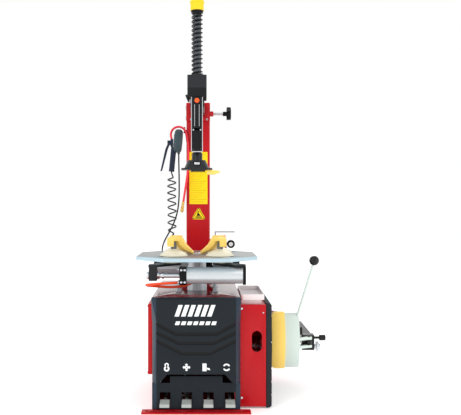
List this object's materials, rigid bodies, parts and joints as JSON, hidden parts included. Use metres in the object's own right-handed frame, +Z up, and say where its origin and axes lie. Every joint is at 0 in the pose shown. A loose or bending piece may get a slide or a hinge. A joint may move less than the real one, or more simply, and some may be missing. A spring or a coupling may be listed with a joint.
{
  "type": "tire changer machine",
  "caption": "Tilt-back tire changer: red cabinet with pedals, jawed turntable, tilting column with sliding arm and spring-loaded hex shaft, side bead breaker.",
  "frame": {"origin": "on the floor at the centre of the four floor bolts, under the turntable axis", "axes": "+Z up along the turntable axis, -Y towards the operator, +X towards the bead breaker"},
  "size_m": [0.91, 0.992, 1.935],
  "materials": {
    "red_paint": "gloss powder coat",
    "slate_cover": "fine textured",
    "black_rubber": "matt",
    "tray_paint": "satin",
    "cast_grey": "painted",
    "table_steel": "satin",
    "jaw_steel": "satin",
    "black_plastic": "satin",
    "black_paint": "satin",
    "polished_steel": "polished",
    "polished_alloy": "satin extruded",
    "yellow_plastic": "satin",
    "orange_plastic": "satin",
    "blue_plastic": "satin",
    "gauge_rubber": "satin",
    "brass_metal": "polished",
    "white_paint": "satin",
    "pedal_metal": "cast",
    "red_hose": "satin",
    "black_hose": "satin",
    "orange_hose": "satin"
  },
  "bodies": {
    "frame": {"base_frame": "red_paint", "front_cover": "slate_cover", "pedal_panel": "slate_cover", "left_side_panel": "red_paint", "wheel_rest_pad": "black_rubber", "tool_tray": "tray_paint", "drive_motor": "cast_grey", "cabinet_shell": "red_paint", "floor_brackets": "cast_grey", "side_housing": "red_paint", "gearbox": "cast_grey"},
    "column": {"column_post": "red_paint", "arm_sleeve": "red_paint", "gun_body": "blue_plastic", "gun_gauge": "gauge_rubber", "hose_manifold": "polished_steel", "whip_chuck": "brass_metal", "frl_gauge": "black_plastic", "frl_unit": "cast_grey", "whip_hose": "red_hose", "curly_hose": "black_hose", "gauge_hose": "black_hose"},
    "clamp_knob": {"clamp_knob": "black_plastic"},
    "arm": {"horizontal_arm": "black_paint", "head_cover": "black_plastic", "return_spring": "black_paint"},
    "shaft": {"hex_shaft": "polished_steel", "shaft_cap": "yellow_plastic", "handle_bracket": "polished_steel", "handle_grip": "black_plastic", "mount_head": "black_paint", "head_insert": "yellow_plastic"},
    "lock_button": {"lock_button": "orange_plastic"},
    "head_roller": {"head_roller": "polished_steel"},
    "gun_lever": {"gun_lever": "blue_plastic"},
    "turntable": {"turntable_plate": "table_steel", "turntable_hub": "cast_grey"},
    "jaw_1": {"jaw_slide_1": "jaw_steel", "jaw_guard_1": "yellow_plastic", "clamp_cylinder_1": "polished_alloy", "table_hose": "orange_hose"},
    "jaw_2": {"jaw_slide_2": "jaw_steel", "jaw_guard_2": "yellow_plastic", "clamp_rod_1": "polished_steel"},
    "jaw_3": {"jaw_slide_3": "jaw_steel", "jaw_guard_3": "yellow_plastic", "clamp_cylinder_2": "polished_alloy"},
    "jaw_4": {"jaw_slide_4": "jaw_steel", "jaw_guard_4": "yellow_plastic", "clamp_rod_2": "polished_steel"},
    "bead_arm": {"bead_arm": "black_paint", "arm_head": "black_paint"},
    "bead_blade": {"bead_blade": "white_paint", "blade_guard": "yellow_plastic"},
    "bead_cylinder": {"bead_cylinder": "polished_steel"},
    "bead_rod": {"bead_rod": "polished_steel"},
    "pedal_1": {"pedal_1": "pedal_metal"},
    "pedal_2": {"pedal_2": "pedal_metal"},
    "pedal_3": {"pedal_3": "pedal_metal"},
    "pedal_4": {"pedal_4": "pedal_metal"}
  },
  "joints": [
    {"name": "column_tilt", "type": "hinge", "parent": "frame", "child": "column", "pos_m": [0, 0.48, 0.545], "axis": [-1, 0, 0], "range_deg": [0, 25]},
    {"name": "knob_turn", "type": "hinge", "parent": "column", "child": "clamp_knob", "pos_m": [0.1, 0.48, 1.446], "axis": [1, 0, 0], "range_deg": [-180, 180]},
    {"name": "arm_reach", "type": "slide", "parent": "column", "child": "arm", "axis": [0, 1, 0], "range_m": [-0.06, 0.16]},
    {"name": "shaft_height", "type": "slide", "parent": "arm", "child": "shaft", "axis": [0, 0, 1], "range_m": [-0.2, 0], "stiffness_N_per_m": 600, "springref_m": 0.3, "deforming": ["return_spring"]},
    {"name": "lock_press", "type": "slide", "parent": "shaft", "child": "lock_button", "axis": [0, 1, 0], "range_m": [0, 0.003], "stiffness_N_per_m": 500, "springref_m": -0.004},
    {"name": "roller_spin", "type": "hinge", "parent": "shaft", "child": "head_roller", "pos_m": [0, -0.036, 1.133], "axis": [1, 0, 0], "continuous": true},
    {"name": "lever_squeeze", "type": "hinge", "parent": "column", "child": "gun_lever", "pos_m": [-0.16, 0.4, 1.275], "axis": [0, -1, 0], "range_deg": [0, 8], "stiffness_Nm_per_rad": 1, "springref_deg": -8.59},
    {"name": "turntable_spin", "type": "hinge", "parent": "frame", "child": "turntable", "pos_m": [0, 0, 0.68], "axis": [0, 0, 1], "continuous": true},
    {"name": "jaw_1_slide", "type": "slide", "parent": "turntable", "child": "jaw_1", "axis": [0.7071, -0.7071, 0], "range_m": [-0.01, 0.07]},
    {"name": "jaw_2_slide", "type": "slide", "parent": "turntable", "child": "jaw_2", "axis": [-0.7071, -0.7071, 0], "range_m": [-0.01, 0.07]},
    {"name": "jaw_3_slide", "type": "slide", "parent": "turntable", "child": "jaw_3", "axis": [-0.7071, 0.7071, 0], "range_m": [-0.01, 0.07]},
    {"name": "jaw_4_slide", "type": "slide", "parent": "turntable", "child": "jaw_4", "axis": [0.7071, 0.7071, 0], "range_m": [-0.01, 0.07]},
    {"name": "pedal_1_press", "type": "hinge", "parent": "frame", "child": "pedal_1", "pos_m": [-0.1395, -0.14, 0.06], "axis": [1, 0, 0], "range_deg": [0, 3], "stiffness_Nm_per_rad": 10, "springref_deg": -11.46},
    {"name": "pedal_2_press", "type": "hinge", "parent": "frame", "child": "pedal_2", "pos_m": [-0.0425, -0.14, 0.06], "axis": [1, 0, 0], "range_deg": [0, 3], "stiffness_Nm_per_rad": 10, "springref_deg": -11.46},
    {"name": "pedal_3_press", "type": "hinge", "parent": "frame", "child": "pedal_3", "pos_m": [0.0545, -0.14, 0.06], "axis": [1, 0, 0], "range_deg": [0, 3], "stiffness_Nm_per_rad": 10, "springref_deg": -11.46},
    {"name": "pedal_4_press", "type": "hinge", "parent": "frame", "child": "pedal_4", "pos_m": [0.1515, -0.14, 0.06], "axis": [1, 0, 0], "range_deg": [0, 3], "stiffness_Nm_per_rad": 10, "springref_deg": -11.46},
    {"name": "bead_arm_swing", "type": "hinge", "parent": "frame", "child": "bead_arm", "pos_m": [0.415, 0.43, 0.273], "axis": [0, 0, 1], "range_deg": [0, 20]},
    {"name": "bead_cylinder_swing", "type": "hinge", "parent": "frame", "child": "bead_cylinder", "pos_m": [-0.02, -0.04, 0.243], "axis": [0, 0, 1], "range_deg": [0, 5.6]},
    {"name": "bead_rod_slide", "type": "slide", "parent": "bead_cylinder", "child": "bead_rod", "axis": [1, 0, 0], "range_m": [0, 0.158]},
    {"name": "blade_pivot", "type": "hinge", "parent": "bead_arm", "child": "bead_blade", "pos_m": [0.536, -0.092, 0.266], "axis": [0, 0, 1], "range_deg": [-7, 8]}
  ],
  "couplings": [
    {"joint": "jaw_2_slide", "follows": "jaw_1_slide", "ratio": 1},
    {"joint": "jaw_3_slide", "follows": "jaw_1_slide", "ratio": 1},
    {"joint": "jaw_4_slide", "follows": "jaw_1_slide", "ratio": 1},
    {"joint": "bead_cylinder_swing", "follows": "bead_arm_swing", "ratio": 0.28},
    {"joint": "bead_rod_slide", "follows": "bead_arm_swing", "m_per_rad": 0.449}
  ]
}
